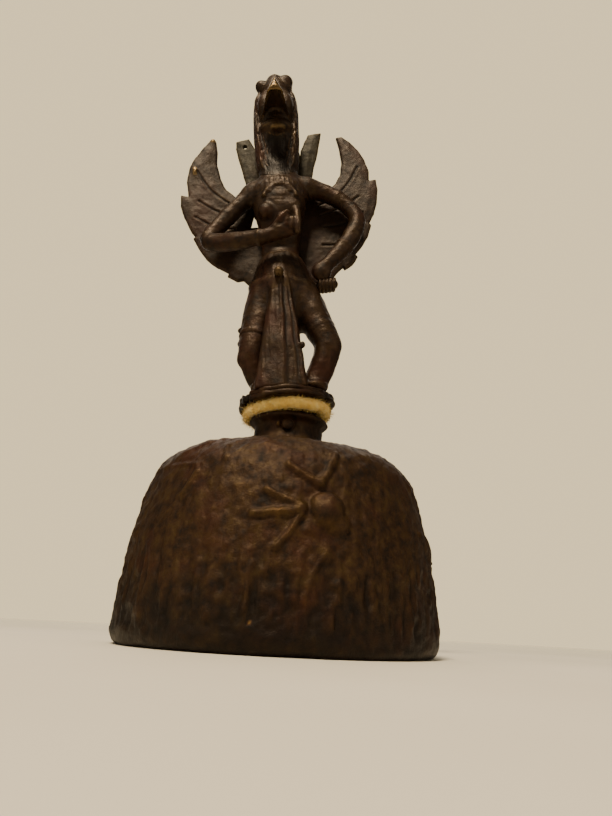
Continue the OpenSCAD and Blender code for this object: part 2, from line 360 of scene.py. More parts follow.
def sculpt(name, step, carve, rough):
    """Meshes one member, run softly into its neighbours and cut off where a neighbour is nearer."""
    fn, low, high = FIELDS[name]
    g = Space(low, high, step)
    own = g.full(fn(g))
    whole, others = own, None
    for other, k in BLENDS[name].items():
        near = FIELDS[other][0](g)
        whole = smin(whole, near, k)
        others = near if others is None else np.minimum(others, near)
    whole = np.maximum(whole, (own - others) * 0.5 - OVERLAP)
    v, quads, n, sharp = skin(whole, g)
    out = cast_skin(v, rough, FIGURE_SEED)
    if carve is not None:
        out = out + carve(v)
    wear_and_painted_light = np.clip(sharp * 0.9 - 0.12, -1, 0.7) * 0.5 + np.clip(out * 1.1, -1, 1) * 0.45
    if name in ("upper_beak", "lower_beak"):
        # The beak's tip is worn to bright metal. Its faces that point up are painted lighter: painted light
        # from above. The lower lip band is painted lighter, partly worn metal and partly a painted highlight.
        wear_and_painted_light = wear_and_painted_light + 0.95 * smoothstep(-14.0, -19.0, v[:, 1]) + 0.25 * (n[:, 2] > 0.2)
        wear_and_painted_light = wear_and_painted_light + 0.36 * smoothstep(-7.0, -9.5, v[:, 1]) * (v[:, 2] < 176.5)
    if name == "head":
        # Painted shade: the neck under the jaw is painted darker, where the jaw's shadow falls.
        wear_and_painted_light = wear_and_painted_light - 0.8 * (1 - smoothstep(171, 176, v[:, 2]))
    if name == "belt_boss":
        # The boss is painted lighter: partly worn metal, partly a painted highlight.
        wear_and_painted_light = wear_and_painted_light + 0.25
    if name == "apron":
        wear_and_painted_light = wear_and_painted_light - 0.14
    v = v + n * out[:, None]
    add_piece(name + "_cast", v, quads, FIGURE, name, wear_and_painted_light=wear_and_painted_light)


# ---- materials ----

def nodes_of(name):
    """A new material, its node tree, its shader and the object's own coordinates."""
    mat = bpy.data.materials.new(name)
    mat.use_nodes = True
    tree = mat.node_tree
    coord = tree.nodes.new("ShaderNodeTexCoord").outputs["Object"]
    return mat, tree, tree.nodes["Principled BSDF"], coord


def link(tree, a, b):
    tree.links.new(a, b)


def fill(node, **values):
    """Sets inputs of a node by name, with _ for a space."""
    for name, value in values.items():
        node.inputs[name.replace("_", " ")].default_value = value


def noise_node(tree, coord, scale, detail, rough):
    node = tree.nodes.new("ShaderNodeTexNoise")
    fill(node, Scale=scale, Detail=detail, Roughness=rough)
    link(tree, coord, node.inputs["Vector"])
    return node.outputs["Fac"]


def ramp(tree, value, stops):
    node = tree.nodes.new("ShaderNodeValToRGB")
    marks = node.color_ramp.elements
    while len(marks) < len(stops):
        marks.new(0.5)
    for mark, (at, colour) in zip(marks, stops):
        mark.position = at
        mark.color = (*colour, 1.0)
    link(tree, value, node.inputs["Fac"])
    return node.outputs["Color"]


def mix(tree, fac, a, b):
    node = tree.nodes.new("ShaderNodeMix")
    node.data_type = "RGBA"
    for socket, value in ((node.inputs[0], fac), (node.inputs[6], a), (node.inputs[7], b)):
        if isinstance(value, bpy.types.NodeSocket):
            link(tree, value, socket)
        elif isinstance(value, float):
            socket.default_value = value
        else:
            socket.default_value = (*value, 1.0)
    return node.outputs[2]


def reading(tree, value, low, high, to_low, to_high):
    node = tree.nodes.new("ShaderNodeMapRange")
    fill(node, From_Min=low, From_Max=high, To_Min=to_low, To_Max=to_high)
    link(tree, value, node.inputs["Value"])
    return node.outputs["Result"]


def scaled_sum(tree, a, factor, b):
    """a * factor + b"""
    node = tree.nodes.new("ShaderNodeMath")
    node.operation = "MULTIPLY_ADD"
    node.inputs[1].default_value = factor
    link(tree, a, node.inputs[0])
    link(tree, b, node.inputs[2])
    return node.outputs[0]


def roughen(tree, shader, height, strength, depth=0.0003):
    bump = tree.nodes.new("ShaderNodeBump")
    fill(bump, Strength=strength, Distance=depth)
    link(tree, height, bump.inputs["Height"])
    link(tree, bump.outputs["Normal"], shader.inputs["Normal"])


def patina(name, dark, brown, red, pale, redness, gloss, rub=(0.20, 0.135, 0.06), metal=0.4, grit=0.0003):
    """Old bronze: black in its hollows, clouded brown and red, and rubbed lighter on its edges; the same
    attribute also carries painted shade and painted highlights.
    """
    mat, tree, shader, coord = nodes_of(name)
    wear_and_painted_light = tree.nodes.new("ShaderNodeAttribute")
    wear_and_painted_light.attribute_name = "wear_and_painted_light"
    wear_and_painted_light = wear_and_painted_light.outputs["Fac"]
    broad = noise_node(tree, coord, 70.0, 4.0, 0.6)
    mid = noise_node(tree, coord, 330.0, 6.0, 0.65)
    fine = noise_node(tree, coord, 1300.0, 4.0, 0.6)
    grain = noise_node(tree, coord, 3600.0, 2.0, 0.5)
    base = ramp(tree, mid, [(0.32, dark), (0.5, brown), (0.7, pale)])
    patches = ramp(tree, broad, [(0.60 - 0.2 * redness, (0, 0, 0)), (0.82 - 0.2 * redness, (1, 1, 1))])
    colour = mix(tree, patches, base, mix(tree, 0.7, base, red))
    # Black in the hollows: patina, and also painted shade where the attribute was lowered for it.
    hollow_and_painted_shade = reading(tree, wear_and_painted_light, -0.7, 0.0, 0.8, 0.0)
    colour = mix(tree, hollow_and_painted_shade, colour, tuple(c * 0.3 for c in dark))
    # Lighter, more metallic and glossier where rubbed: worn metal, and also painted highlights where the
    # attribute was raised for them.
    rubbed_and_painted_light = reading(tree, scaled_sum(tree, fine, 0.5, wear_and_painted_light), 0.55, 1.35, 0.0, 0.7)
    link(tree, mix(tree, rubbed_and_painted_light, colour, rub), shader.inputs["Base Color"])
    link(tree, reading(tree, rubbed_and_painted_light, 0.0, 0.7, metal, 0.9), shader.inputs["Metallic"])
    satin = reading(tree, mid, 0.3, 0.7, gloss + 0.14, gloss - 0.06)
    link(tree, scaled_sum(tree, rubbed_and_painted_light, -0.25, satin), shader.inputs["Roughness"])
    fill(shader, Specular_IOR_Level=0.26)
    roughen(tree, shader, mix(tree, 0.4, fine, grain), 0.6, grit)
    return mat


def yarn(name):
    mat, tree, shader, coord = nodes_of(name)
    blotch = noise_node(tree, coord, 380.0, 4.0, 0.6)
    fibre = noise_node(tree, coord, 4200.0, 2.0, 0.5)
    colour = ramp(tree, blotch, [(0.3, (0.80, 0.50, 0.09)), (0.52, (0.93, 0.66, 0.17)),
                                 (0.72, (0.97, 0.80, 0.34))])
    strand = ramp(tree, fibre, [(0.35, (0.60, 0.36, 0.06)), (0.65, (0.96, 0.78, 0.32))])
    link(tree, mix(tree, 0.35, colour, strand), shader.inputs["Base Color"])
    fill(shader, Roughness=0.92, Specular_IOR_Level=0.15, Sheen_Weight=0.5, Sheen_Roughness=0.5)
    roughen(tree, shader, fibre, 0.6)
    return mat


def forged_iron(name):
    mat, tree, shader, coord = nodes_of(name)
    mottle = noise_node(tree, coord, 320.0, 6.0, 0.62)
    pits = noise_node(tree, coord, 1500.0, 3.0, 0.6)
    rust = noise_node(tree, coord, 140.0, 5.0, 0.6)
    base = ramp(tree, mottle, [(0.3, (0.018, 0.016, 0.015)), (0.7, (0.07, 0.06, 0.052))])
    stain = ramp(tree, rust, [(0.5, (0, 0, 0)), (0.66, (1, 1, 1))])
    link(tree, mix(tree, stain, base, (0.085, 0.04, 0.02)), shader.inputs["Base Color"])
    fill(shader, Metallic=0.55)
    link(tree, reading(tree, mottle, 0.3, 0.7, 0.72, 0.48), shader.inputs["Roughness"])
    roughen(tree, shader, pits, 0.5)
    return mat


BELL = patina("bell_bronze", (0.006, 0.0026, 0.0008), (0.028, 0.0115, 0.0026), (0.043, 0.01, 0.0026),
              (0.048, 0.026, 0.0056), rub=(0.105, 0.06, 0.021), redness=0.5, gloss=0.50, grit=0.00045)
FIGURE = patina("figure_bronze", (0.0056, 0.0026, 0.0009), (0.0215, 0.0092, 0.0026), (0.037, 0.0092, 0.003),
                (0.031, 0.0168, 0.0048), redness=0.6, gloss=0.42)
WING = patina("wing_bronze", (0.0048, 0.0022, 0.0007), (0.0165, 0.0072, 0.0021), (0.026, 0.0072, 0.0022),
              (0.023, 0.0128, 0.0037), redness=0.6, gloss=0.50, metal=0.25)
BAR = patina("bar_bronze", (0.0056, 0.0038, 0.0014), (0.0175, 0.0128, 0.0042), (0.022, 0.01, 0.0034),
             (0.024, 0.0195, 0.0074), redness=0.2, gloss=0.54, metal=0.25)
CORD = yarn("cord_yarn")
IRON = forged_iron("clapper_iron")


# ---- the bell's shell ----

def arc(x, z, r, a, b, n):
    at = np.radians(np.linspace(a, b, n + 1))
    return np.stack([x + r * np.cos(at), z + r * np.sin(at)], axis=1)


def bend(p, c, q, n):
    t = np.linspace(0, 1, n + 1)[:, None]
    p, c, q = np.array(p), np.array(c), np.array(q)
    return (1 - t) ** 2 * p + 2 * t * (1 - t) * c + t ** 2 * q


def shell_profile():
    """The shell's section: from the middle of the ceiling, down inside, over the rim, up to the socket.

    Also where its outer part starts and ends, and the outer wall's own points.
    """
    turn, top = math.degrees(WALL_TURN), 90 - math.degrees(CROWN_FALL)

    def head(r):
        return SHOULDER_X + r * math.cos(WALL_TURN), SHOULDER_Z + r * math.sin(WALL_TURN)

    inner_arc = SHOULDER_R - WALL
    inside = np.vstack([
        [[0, CROWN_Z - 5], [8, CROWN_Z - 5], [10, CROWN_Z - WALL]],
        arc(SHOULDER_X, SHOULDER_Z, inner_arc, top, turn, 10),
        bend(head(inner_arc), (MOUTH_R - WALL - 0.7, 26), (MOUTH_R - WALL, 10), 8)[1:],
        [[MOUTH_R - 4.6, 4], [MOUTH_R - 4.6, 0.8], [MOUTH_R - 3.8, 0]],
    ])
    outside = np.vstack([
        [[MOUTH_R - 1.6, 0]],
        arc(MOUTH_R - 2.3, 2.2, 2.2, -80, 0, 8),
        bend((MOUTH_R - 0.1, 2.4), (MOUTH_R - 0.8, SHOULDER_Z * 0.66), head(SHOULDER_R), 30)[1:],
        arc(SHOULDER_X, SHOULDER_Z, SHOULDER_R, turn + 2, top, 24),
        bend((COLLAR_R + 4, CROWN_Z - 4 * math.tan(CROWN_FALL)), (COLLAR_R + 0.3, CROWN_Z),
             (COLLAR_R, CROWN_Z + 2.2), 8),
        [[COLLAR_R, COLLAR_TOP - 2.6]],
        bend((COLLAR_R, COLLAR_TOP - 2.6), (FLANGE_R - 1, COLLAR_TOP - 2),
             (FLANGE_R, COLLAR_TOP - 1.1), 6)[1:],
        [[FLANGE_R, COLLAR_TOP - 0.5], [FLANGE_R - 0.5, COLLAR_TOP]],
    ])
    socket = [[FLANGE_R - 0.5, COLLAR_TOP], [SOCKET_R, COLLAR_TOP], [SOCKET_R, CROWN_Z + 0.2],
              [0, CROWN_Z + 0.2]]
    a = resample(inside, 2.6)
    b = resample(outside, 0.52)
    c = resample(socket, 1.8)
    return np.vstack([a, b, c[1:]]), len(a), len(a) + len(b), outside


PROFILE, OUT_START, OUT_END, OUTSIDE = shell_profile()


def on_bell(angle, z):
    """A point of the outer wall at an angle from the front, in degrees, and a height."""
    r = np.interp(z, OUTSIDE[1:, 1], OUTSIDE[1:, 0])
    a = math.radians(angle)
    return np.array([r * math.sin(a), -r * math.cos(a), z])


def on_collar(x, z):
    """A point of the collar's front."""
    return np.array([x, -math.sqrt(COLLAR_R ** 2 - x * x), z])


def bell_line(points, steps=5):
    """Points along a line that lies on the outer wall."""
    rows = []
    for (a0, z0), (a1, z1) in zip(points, points[1:]):
        for k in range(steps):
            t = k / steps
            rows.append(on_bell(a0 + (a1 - a0) * t, z0 + (z1 - z0) * t))
    rows.append(on_bell(*points[-1]))
    return np.array(rows)


def round_bead(gap, radius, height):
    """The height of a rounded thread or blob at a distance from its middle."""
    return height * np.sqrt(np.maximum(1.0 - (gap / radius) ** 2, 0.0))


# Each thread of wax on the bell: its points as angle and height, its half width and how far it stands out
THREADS = [
    ([(2.5, 43.9), (7.4, 41.8), (13.7, 39.6)], 1.2, 1.1),
    ([(13.7, 39.6), (16.6, 42.5), (18.4, 45.0), (20.6, 47.7)], 1.2, 1.0),
    ([(-4.6, 37.1), (-0.7, 36.0), (3.5, 34.9), (7.6, 33.3)], 1.1, 1.0),
    ([(-8.2, 31.2), (-1.9, 31.6), (2.9, 32.0), (6.9, 32.6)], 1.2, 1.15),
    ([(7.7, 32.2), (5.4, 29.0), (3.6, 26.8), (-0.3, 23.5)], 0.95, 0.95),
    ([(29.6, 36.6), (36, 38.6), (42.2, 39.0)], 0.7, 0.45),
    ([(42.2, 39.0), (42.1, 35.4), (40.6, 30.8), (37.9, 24.5)], 0.7, 0.45),
    ([(18.8, 27.7), (25.2, 26.4)], 0.9, 0.6),
    ([(-63.8, 45.6), (-50.2, 45.4), (-41.5, 45.2), (-34, 44.4), (-32.4, 42.0)], 0.9, 0.7),
    ([(-32.4, 42.0), (-34.8, 38.5), (-36.6, 36.3)], 1.2, 1.0),
    ([(-36.6, 36.3), (-42.6, 31.2), (-46.2, 27.5)], 0.8, 0.6),
    ([(-23.6, 49.4), (-21.0, 45.6)], 0.9, 0.7),
    ([(-15.0, 49.9), (-17.8, 47.5), (-21, 45.4)], 0.9, 0.6),
    ([(16.6, 23.5), (14.2, 21.4), (11.9, 18.8), (10.2, 15.5), (9.5, 12.8)], 0.8, 0.65),
    ([(-6.6, 19.7), (-7.4, 17.5), (-7.3, 14.2), (-8.5, 8.9)], 0.9, 0.7),
    ([(-24.0, 17.7), (-24.1, 14.9), (-24.0, 12.4)], 0.8, 0.6),
    ([(2.6, 15.7), (2.4, 13.0), (3.7, 10.4)], 0.7, 0.55),
    ([(7.5, 18.0), (6.5, 15.8), (7.0, 13.2), (6.4, 11.1)], 0.7, 0.55),
    ([(-3.8, 20.9), (0, 20.5), (3.8, 18.4), (8.3, 17.5)], 0.8, 0.4),
    ([(-13.0, 30.5), (-14.2, 28.1), (-16.7, 24.5), (-20.3, 21.6)], 0.8, 0.35),
    ([(-48.0, 23.2), (-37.6, 24.1), (-28.2, 24.5)], 0.8, 0.35),
    ([(-46.8, 48.9), (-34.7, 51.6)], 1.2, 0.7),
    ([(27, 52.0), (31, 49.6), (33, 46.4)], 0.9, 0.5),
]
# Blobs: angle, height, radius and how far it stands out
BLOBS = [
    (16.0, 33.2, 4.3, 2.7), (19.3, 30.1, 3.2, 1.5), (13.7, 39.8, 1.7, 1.5), (7.4, 33.0, 1.6, 1.3),
    (20.8, 48.0, 1.5, 1.1), (18.6, 45.2, 1.4, 1.1), (-21, 45.4, 1.4, 0.9), (43.5, 18.7, 1.5, 0.8),
    (41.4, 7.3, 0.9, 0.6), (-47.2, 7.9, 1.2, 0.6), (3.7, 14.4, 0.7, 0.6), (7.5, 25.9, 0.8, 0.5),
    (-0.3, 23.5, 1.1, 0.9), (32.0, 45.5, 1.4, 0.6), (-52, 44.0, 4.6, 0.8), (-47, 49.4, 3.6, 0.7),
    (22, 22, 4.6, 0.4), (-60, 33, 4.0, 0.5), (52, 30, 5.0, 0.6),
]


def bell_relief(v):
    """How far the wax relief and the rough casting stand out at points of the wall."""
    out = np.zeros(len(v))
    chance = np.random.RandomState(7)
    threads, blobs = list(THREADS), list(BLOBS)
    for k in range(44):
        a = -172 + k * 8 + chance.uniform(-3, 3)
        top = chance.uniform(12, 21)
        end = top - chance.uniform(4, 9)
        threads.append(([(a, top), (a + chance.uniform(-1.5, 1.5), end)], chance.uniform(0.6, 1.0),
                        chance.uniform(0.25, 0.6)))
    for k in range(26):
        a = 62 + k * 9.2 + chance.uniform(-3, 3)
        z = chance.uniform(22, 47)
        turn = chance.uniform(-8, 8)
        drop = chance.uniform(-9, 9)
        threads.append(([(a, z), (a + turn * 0.6, z + drop * 0.4), (a + turn, min(z + drop, 49))],
                        chance.uniform(0.8, 1.3), chance.uniform(0.5, 1.0)))
        if k % 4 == 1:
            blobs.append((a + 4, chance.uniform(24, 40), chance.uniform(2.2, 4.4), chance.uniform(1.0, 2.2)))
    for points, radius, height in threads:
        gap = line_gap(v, bell_line(points)) + 0.18 * noise(v, 1.3, 40)
        bead = round_bead(np.maximum(gap, 0), radius, height)
        out = np.maximum(out, bead) + 0.12 * height * hump(gap, 2.4 * radius)
    for angle, z, radius, height in blobs:
        gap = np.linalg.norm(v - on_bell(angle, z), axis=1)
        gap = gap * (1 + 0.2 * noise(v, 3.0, 41) + 0.1 * noise(v, 1.4, 42))
        out = smax(out, round_bead(gap, radius, height), 0.5)
    return out


GLINT_X = -2.8  # the bright bead beside the cross pin


def make_shell():
    even = np.linspace(-math.pi, math.pi, 431)[:-1]
    angles = even - 0.38 * np.sin(even)
    v, quads, faces = lathe(PROFILE, angles)
    n = normals(v, quads)
    row = np.concatenate([np.repeat(np.arange(1, len(PROFILE) - 1), len(angles)), [0, len(PROFILE) - 1]])
    outer = (row >= OUT_START) & (row < OUT_END)
    z, r = v[:, 2], np.hypot(v[:, 0], v[:, 1])
    wall = outer * smoothstep(1.0, 4.0, z) * smoothstep(13.5, 17.0, r)
    relief = np.zeros(len(v))
    use = wall > 0
    relief[use] = bell_relief(v[use])
    small = (0.26 * noise(v, 2.0, 13) + 0.16 * noise(v, 0.95, 14)) * (1 - 0.55 * smoothstep(0.5, 0.9, relief))
    lumps = 0.36 * noise(v, 13.0, 11) - 0.12 + 0.3 * noise(v, 5.0, 12) + small
    round_wall = np.stack([np.arctan2(v[:, 0], -v[:, 1]) * r, z * 0.2, r * 0.1], axis=1)
    streaks = 0.46 * noise(round_wall, 1.5, 15) + 0.24 * noise(round_wall, 0.8, 21)
    low_band = smoothstep(3, 8, z) * (1 - 0.8 * smoothstep(18, 26, z))
    out = wall * (1.2 * relief + lumps + streaks * low_band)
    collar = outer * (1 - smoothstep(13.5, 17.0, r)) * smoothstep(CROWN_Z - 1, CROWN_Z + 1, z)
    out = out + collar * (0.18 * noise(v, 3.2, 16) + 0.1 * noise(v, 1.3, 17))
    for side in (-1, 1):
        gap = np.linalg.norm(v - np.array([0, side * COLLAR_R, PIN_Z]), axis=1)
        out = out + outer * (-0.5 * hump(gap - PIN_R - 0.4, 0.4) - 0.4 * (gap < PIN_R))
    for x, up, size, high in ((GLINT_X, 0, 0.7, 0.8), (3.2, 0.2, 0.5, 0.35), (0.5, 3.6, 0.6, 0.5),
                              (0.4, -3.9, 0.8, 0.4)):
        gap = np.linalg.norm(v - on_collar(x, PIN_Z + up), axis=1)
        out = out + outer * round_bead(gap, size, high)
    inner = (row < OUT_START)
    out = out + inner * smoothstep(0.5, 4, z) * (0.3 * noise(v, 6.0, 18))
    out = out + outer * (1 - smoothstep(0.6, 3.5, z)) * 0.25 * noise(v, 6.0, 19)
    # Painted shade: the outer wall is painted darker towards the rim, where the lower part of the bell lies
    # in shade.
    low = outer * (1 - smoothstep(5, 25, z))
    rough = 0.7 * small + 0.7 * streaks * low_band
    edge = np.minimum(relief, 1.2) * 0.5 - 0.36 * np.clip(relief - 1.3, 0, 1.2) + 0.2 * noise(v, 4.0, 20)
    # The term with low darkens the wall towards the rim as painted shade.
    edge = edge + rough - 0.75 * low - 0.06
    edge = edge + np.where(out < -0.7, -0.4, 0.0)
    dot = np.linalg.norm(v - on_bell(-6, 7.0), axis=1) < 0.55
    edge = np.where(dot & outer, 1.0, edge)
    glint = np.linalg.norm(v - on_collar(GLINT_X, PIN_Z), axis=1) < 0.7
    edge = np.where(glint & outer, 0.9, edge)
    v = v + n * out[:, None]
    v[:, 2] = np.maximum(v[:, 2], 0.0)
    add_piece("bell_casting", v, faces, BELL, "bell_shell", lean=False, wear_and_painted_light=edge)


make_shell()


# ---- the figure: one field for each member ----

HEAD_ROWS = [(0, -1.6, 158, 5.6, 5.2), (0, -1.8, 166, 6.0, 5.4), (0, -2.6, 176, 6.6, 6.4),
             (0.1, -3.2, 186, 6.6, 7.0), (0.2, -3.6, 193.5, 5.8, 6.4), (0.2, -4.4, 198.6, 3.8, 4.4)]
EYES = ((-4.9, -6.0, 196.9, 2.25), (4.1, -6.0, 198.6, 2.75))  # x, y, z and radius


@member("head", (-10, -14, 154), (10, 7, 206),
        {"upper_beak": 1.2, "lower_beak": 1.2, "mane": 0.8, "eyes": 0.8, "torso": 2.0, "breast_collar": 0.6})
def head(g):
    d, _ = limb(g, HEAD_ROWS)
    for side in (-1, 1):
        d = smin(d, egg(g, (side * 3.6, -7.4, 186.5), (2.9, 3.6, 5.2)), 2.0)
        d = smin(d, egg(g, (side * 3.9, -5.6, 196.2), (2.6, 2.6, 2.4)), 1.0)
    d = smin(d, egg(g, (0, -6.6, 193.8), (3.0, 2.6, 3.4)), 1.5)
    throat = egg(g, (0, -9.8, 167.8), (4.8, 4.5, 6.6))
    return smax(d, -throat, 1.6)


@member("upper_beak", (-8, -23, 178), (8, -3.5, 196), {"head": 1.2, "lower_beak": 0.4})
def upper_beak(g):
    t = np.clip((-g.y - 7.0) / 13.2, 0.0, 1.0)
    half = 5.6 - 2.9 * t
    roof = 192.2 - 4.2 * t ** 1.3
    floor = 180.6 + 1.0 * t ** 1.3
    rise = roof - floor
    slope = half * rise / np.sqrt(half ** 2 + rise ** 2)
    sides = (np.abs(g.x) / half + (g.z - floor) / rise - 1.0) * slope
    arch = np.clip(1.0 - (g.x / np.maximum(half - 0.8, 0.3)) ** 2, 0.0, 1.0)
    palate = 1.9 * arch * (1.0 - smoothstep(0.82, 0.96, t))
    under = floor + palate - g.z
    tip = -20.4 - g.y
    back = g.y + 4.5
    body = smax(smax(sides, under, 0.5), tip, 2.0)
    for side in (-1, 1):
        body = smax(body, -egg(g, (side * 2.1, -12.6, 187.6), (0.55, 1.2, 0.5)), 0.3)
    return np.maximum(body, back)


@member("lower_beak", (-8.5, -15, 170), (8.5, -1, 182), {"head": 1.2, "upper_beak": 0.4})
def lower_beak(g):
    jaw = egg(g, (0, -4.6, 176.8), (6.4, 6.2, 3.0))
    lip = egg(g, (0.6, -9.2, 175.0), (2.6, 1.6, 1.0))
    mouth = egg(g, (0, -8.2, 180.4), (4.4, 4.0, 1.9))
    return smax(smin(jaw, lip, 1.2), -mouth, 0.6)


@member("eyes", (-9, -10.5, 192), (9, -2, 203.5), {"head": 0.8})
def eyes(g):
    d = None
    for x, y, z, r in EYES:
        ball = np.sqrt((g.x - x) ** 2 + (g.y - y) ** 2 + (g.z - z) ** 2) - r
        d = ball if d is None else np.minimum(d, ball)
    return d


@member("mane", (-11, -9.5, 157), (11, 8, 200.5), {"head": 0.8, "torso": 1.0, "breast_collar": 0.5})
def mane(g):
    d, _ = limb(g, HEAD_ROWS)
    out = 1.25 * smoothstep(158, 164, g.z) * (1.0 - smoothstep(190, 198, g.z)) + 0.35
    face = (-g.y - 2.9) - 0.62 * np.abs(g.x)
    return smax(d - out, face * 0.8, 0.9)


@member("torso", (-13.5, -12, 116), (14.5, 6.5, 164),
        {"hips": 2.0, "right_arm": 2.6, "left_arm": 2.6, "breast_collar": 1.2, "head": 1.5, "belt": 0.4})
def torso(g):
    d, _ = limb(g, [(0, -1.0, 119, 7.4, 4.2), (-0.2, 0.2, 127, 6.6, 3.8), (-0.2, 0.0, 133, 6.6, 4.0),
                    (0, -2.0, 140, 7.8, 5.7), (0.2, -2.4, 147, 9.4, 6.6), (0.4, -1.8, 153, 9.2, 5.8),
                    (0.2, -1, 157.5, 5.8, 4.8)])
    d = smin(d, egg(g, (-4.4, -7.4, 141.2), (2.6, 2.2, 2.9)), 1.2)
    d = smin(d, egg(g, (4.6, -6.6, 143.0), (2.8, 1.9, 3.0)), 1.8)
    d = smin(d, egg(g, (-8.8, -1.4, 152.6), (3.6, 3.6, 3.6)), 2.0)
    d = smin(d, egg(g, (9.8, -1.4, 154.2), (3.8, 3.6, 3.4)), 2.0)
    for x, z, wide in ((0.4, 147.6, 3.6), (0.4, 145.8, 5.6)):
        arch = np.sqrt((np.hypot(g.x - x, g.z - z) - wide) ** 2 + (g.y + 8.3) ** 2) - 0.6
        d = smin(d, np.maximum(arch, z + 0.6 - g.z), 0.9)
    return d


@member("breast_collar", (-12, -12, 148), (12.5, 8.5, 163.5), {"torso": 1.2, "head": 0.6, "mane": 0.5})
def breast_collar(g):
    z = g.z - 155.6 - 0.34 * (g.y + 1.6) + 0.05 * g.x ** 2
    ring = (np.sqrt((g.x / 8.8) ** 2 + ((g.y + 1.8) / 6.5) ** 2) - 1.0) * 7.6
    return np.sqrt((ring / 1.1) ** 2 + (z / 1.6) ** 2) * 1.1 - 1.1


@member("right_arm", (-30.5, -19.5, 121), (8, 5, 158.5), {"torso": 2.6, "breast_collar": 0.8})
def right_arm(g):
    d, s = limb(g, [(-8.6, -1.2, 153.2, 3.5, 3.3), (-13.4, -1.6, 148.6, 3.1, 3.0),
                    (-19.4, -2.4, 141.2, 2.9, 2.9), (-24.6, -4, 132.8, 2.8, 2.8),
                    (-21.0, -6.0, 130.0, 3.2, 3.0), (-14.0, -9.4, 128.2, 3.1, 2.9),
                    (-5.6, -12.4, 127.4, 2.5, 2.5), (-1.0, -13.4, 128.4, 2.6, 2.4)], 3)
    d = d - 0.3 * hump(s - 47.5, 0.8) - 0.15 * hump(s - 14.5, 0.8)
    palm = egg(g, (2.0, -13.6, 130.6), (4.2, 2.4, 4.0))
    d = smin(d, palm, 2.0)
    for k in range(4):
        x, z = 0.2 + 1.75 * k, 134.0 - 0.9 * k
        d = smin(d, limb(g, [(x, -13.6, z + 0.4, 0.9, 0.9), (x + 0.5, -15.7, z - 0.6, 0.95, 0.95),
                             (x + 0.2, -15.6, z - 2.9, 0.85, 0.85)], 2)[0], 0.7)
    d = smin(d, limb(g, [(-1.6, -14.8, 129.8, 1.0, 1.0), (0.2, -16.0, 132.2, 0.95, 0.95),
                         (2.4, -16.2, 134.0, 0.9, 0.9)], 2)[0], 0.6)
    edge = limb(g, [(5.2, -14.6, 136.6, 1.3, 1.2), (5.9, -15.6, 131.6, 1.0, 1.0),
                    (5.7, -15.2, 127.4, 0.9, 0.9)], 2)[0]
    return smin(d, edge, 0.6)


@member("left_arm", (5, -12.5, 109.5), (32.5, 5.5, 161),
        {"torso": 2.6, "belt": 0.5, "hips": 1.4, "breast_collar": 0.8})
def left_arm(g):
    d, s = limb(g, [(9.8, -1.2, 155.0, 3.5, 3.3), (14.6, -1.4, 153.0, 3.2, 3.1),
                    (20.6, -1.6, 149.6, 3.0, 2.9), (25.4, -2, 144.4, 2.8, 2.8),
                    (27.0, -2.4, 139.4, 2.9, 2.9), (24.8, -3.2, 133.0, 3.1, 3.0),
                    (20.4, -4.2, 126.6, 3.0, 2.9), (15.6, -5.6, 120.8, 2.5, 2.5)], 3)
    d = d - 0.25 * hump(s - 37.0, 0.8) - 0.15 * hump(s - 12.5, 0.8)
    return smin(d, egg(g, (13.2, -6.0, 117.6), (3.3, 2.3, 3.6)), 1.6)


@member("hips", (-16, -15.5, 96), (17, 7.5, 126),
        {"torso": 2.0, "right_leg": 2.4, "left_leg": 2.4, "apron": 1.0, "belt": 0.8})
def hips(g):
    d, _ = limb(g, [(0, -2, 119, 8.8, 6.4), (0, -2.4, 115.5, 9.9, 7.4), (0, -2.6, 109.5, 10.4, 7.4),
                    (0, -2.2, 104, 8.4, 5.8)])
    front = limb(g, [(-1.0, -6.0, 121.0, 1.2, 1.0), (-1.0, -8.8, 117.4, 2.8, 1.4),
                     (-1.0, -10.0, 112.6, 3.8, 1.6)])[0]
    return smin(d, front, 2.6)


@member("belt", (-14, -14, 108.5), (14.5, 9, 118.5),
        {"hips": 0.8, "left_arm": 0.5, "belt_knot": 0.4, "belt_boss": 0.3})
def belt(g):
    ring = (np.sqrt((g.x / 10.5) ** 2 + ((g.y + 2.4) / 8.0) ** 2) - 1.0) * 9.0
    z = g.z - 113.0 + 0.05 * g.x
    return np.sqrt(ring ** 2 + (z / 1.3) ** 2) - 0.75


@member("belt_boss", (-4.5, -16.5, 110), (2.5, -8, 118.5), {"apron": 0.5, "hips": 0.5})
def belt_boss(g):
    return egg(g, (-1.0, -12.6, 114.2), (1.55, 1.9, 1.55))


@member("belt_knot", (8.5, -8.5, 108.5), (20, 1, 118), {"belt": 0.4})
def belt_knot(g):
    core, _ = limb(g, [(10, -3.9, 113.4, 1.5, 1.5), (17.0, -4.4, 113.6, 1.6, 1.6)], 2)
    for k in range(5):
        x = 12.6 + 1.15 * k
        r = 1.9 + 0.35 * math.sin(0.9 + 0.62 * k)
        along = g.x - x - 0.12 * (g.z - 113.5)
        ring = np.sqrt((np.hypot(g.y + 4.2, g.z - 113.5) - r) ** 2 + along ** 2) - 0.62
        core = smin(core, ring, 0.2)
    return core


